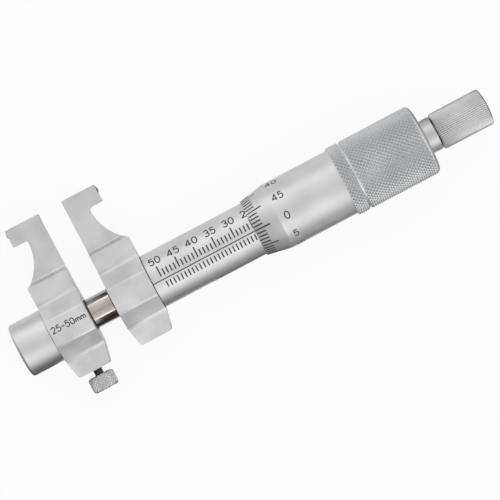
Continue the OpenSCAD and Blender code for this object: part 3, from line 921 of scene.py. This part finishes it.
def upright_card(y, low, top):
    """Corners of a card that stands up, as wide as the gap between the jaws."""
    left, right = TUBE_GAP
    return [(left, y, low), (right, y, low), (right, y, top), (left, y, top)]


def plain_card(name, colour):
    """A dull card's finish in one colour."""
    material, _, shader = new_material(name)
    shader.inputs["Base Color"].default_value = (*colour, 1)
    shader.inputs["Roughness"].default_value = DULL
    return material


def fading_card(name, low, high):
    """A grey card's finish that gets lighter from the jaws to the thimble."""
    jaws_x = -0.02
    thimble_x = 0.04
    material, tree, shader = new_material(name)
    along = reach_along(tree, "Object", ALONG_SPINDLE)
    colour_by(tree, shader, along, grey(low), grey(high), jaws_x, thimble_x)
    shader.inputs["Roughness"].default_value = DULL
    return material


def glowing_strip(name, colour, strength):
    """A light strip's finish."""
    material, _, shader = new_material(name)
    shader.inputs["Emission Color"].default_value = (*colour, 1)
    shader.inputs["Emission Strength"].default_value = strength
    return material


def make_cards():
    """Dark cards and light strips that only reflections show, so that the metal's edges stand out."""
    fading = fading_card("grey_card", 0.06, 0.50)
    near = fading_card("close_shadow_card", 0.05, 0.22)
    black = plain_card("black_card", (0.045, 0.04, 0.036))
    dim = plain_card("dim_card", grey(0.15))
    strip = glowing_strip("light_strip", (1.0, 0.97, 0.94), 3.2)
    left = -0.3
    right = 0.35
    in_front = -0.024
    below_thimble = -0.0138
    neck_end = 0.0925
    behind_y = 0.055
    before_y = -0.030
    cards = [
        # Painted shade: the cards that lie close in front, before the cap and the bevel, and under the
        # neck stand in for the instrument's shadow on the floor, which reflections of the white floor
        # would not show.
        ("shadow_card_close_in_front", near, flat_card(left, right, -0.014, in_front)),
        ("card_in_front", fading, flat_card(left, right, in_front, -0.4)),
        ("card_beyond_knob", dim, flat_card(neck_end, 0.20, -0.06, 0.06)),
        ("shadow_card_under_neck", fading, flat_card(0.0765, neck_end, -0.05, 0.05)),
        ("shadow_card_before_cap", dim, flat_card(-0.07, -0.030, -0.0075, below_thimble)),
        ("shadow_card_before_bevel", dim, flat_card(0.014, 0.0335, -0.0095, below_thimble)),
        ("card_behind_cap", fading, flat_card(-0.06, -0.024, 0.040, 0.062)),
        ("card_behind_tube", black, flat_card(*TUBE_GAP, 0.027, behind_y)),
        ("flag_behind_tube", black, upright_card(behind_y, JAW_BACK_Z, 0.0145)),
        ("flag_before_tube", black, upright_card(before_y, JAW_BACK_Z, 0.0225)),
        ("strip_behind_tube", strip, upright_card(behind_y, 0.0235, 0.0310)),
        ("strip_before_tube", strip, upright_card(before_y, 0.0245, 0.0300)),
    ]
    for name, finish, corners in cards:
        card = stage_sheet(name, corners)
        card.visible_camera = False
        card.visible_diffuse = False
        card.visible_shadow = False
        card.data.materials.append(finish)


def ramp_along(tree, value, levels):
    """A grey ramp over a direction's component, from (component, level) pairs."""
    span = tree.nodes.new("ShaderNodeMapRange")
    span.inputs["From Min"].default_value = -1.0
    ramp = tree.nodes.new("ShaderNodeValToRGB")
    tree.links.new(value, span.inputs["Value"])
    tree.links.new(span.outputs["Result"], ramp.inputs["Fac"])
    stops = ramp.color_ramp.elements
    while len(stops) < len(levels):
        stops.new(0.5)
    for stop, (side, level) in zip(stops, levels):
        stop.position = (side + 1) / 2
        stop.color = (*grey(level), 1)
    return ramp.outputs["Color"]


# Brightness of the sky, by how far a direction reaches across the spindle and along it
ACROSS_LEVELS = [
    (-1.0, 0.50), (-0.97, 0.94), (-0.88, 1.34), (-0.74, 1.60), (-0.6, 1.22), (-0.5, 1.03), (-0.18, 0.84),
    (-0.06, 0.70), (0.06, 0.70), (0.18, 0.82), (0.4, 0.88), (0.65, 0.97), (0.83, 1.24), (0.91, 1.02),
    (0.97, 0.70), (1.0, 0.54),
]
LENGTHWISE_LEVELS = [
    (-1.0, 0.20), (-0.65, 0.28), (-0.5, 0.52), (-0.35, 0.90), (-0.12, 0.98), (0.0, 1.0), (0.4, 1.0),
    (0.65, 0.97), (0.85, 0.68), (1.0, 0.35),
]


def make_world():
    """Soft studio light: two long soft boxes along the instrument, dimmer overhead and at both ends."""
    slant = math.radians(20)
    world = bpy.data.worlds.new("studio")
    bpy.context.scene.world = world
    world.use_nodes = True
    tree = world.node_tree
    background = tree.nodes["Background"]
    lengthwise = (math.cos(slant), math.sin(slant), 0)
    by_side = ramp_along(tree, reach_along(tree, "Generated", UP_ARMS), ACROSS_LEVELS)
    by_length = ramp_along(tree, reach_along(tree, "Generated", lengthwise), LENGTHWISE_LEVELS)
    tree.links.new(multiplied(tree, by_side, by_length), background.inputs["Color"])
    background.inputs["Strength"].default_value = 1.31


def make_camera():
    """Looks straight down on the instrument, which slants across the picture."""
    tilt = math.radians(27.84)
    height = 0.66
    seen = 121.4 * MM
    look_at = (24.6 * MM, -4.2 * MM)
    data = bpy.data.cameras.new("camera")
    data.sensor_width = 36.0
    data.lens = data.sensor_width * height / seen
    data.clip_end = 20.0
    camera = bpy.data.objects.new("camera", data)
    camera.location = (*look_at, height)
    camera.rotation_euler = (0, 0, -tilt)
    bpy.context.scene.collection.objects.link(camera)
    bpy.context.scene.camera = camera


make_floor()
make_cards()
make_world()
make_camera()
bpy.context.scene.view_settings.view_transform = "Standard"
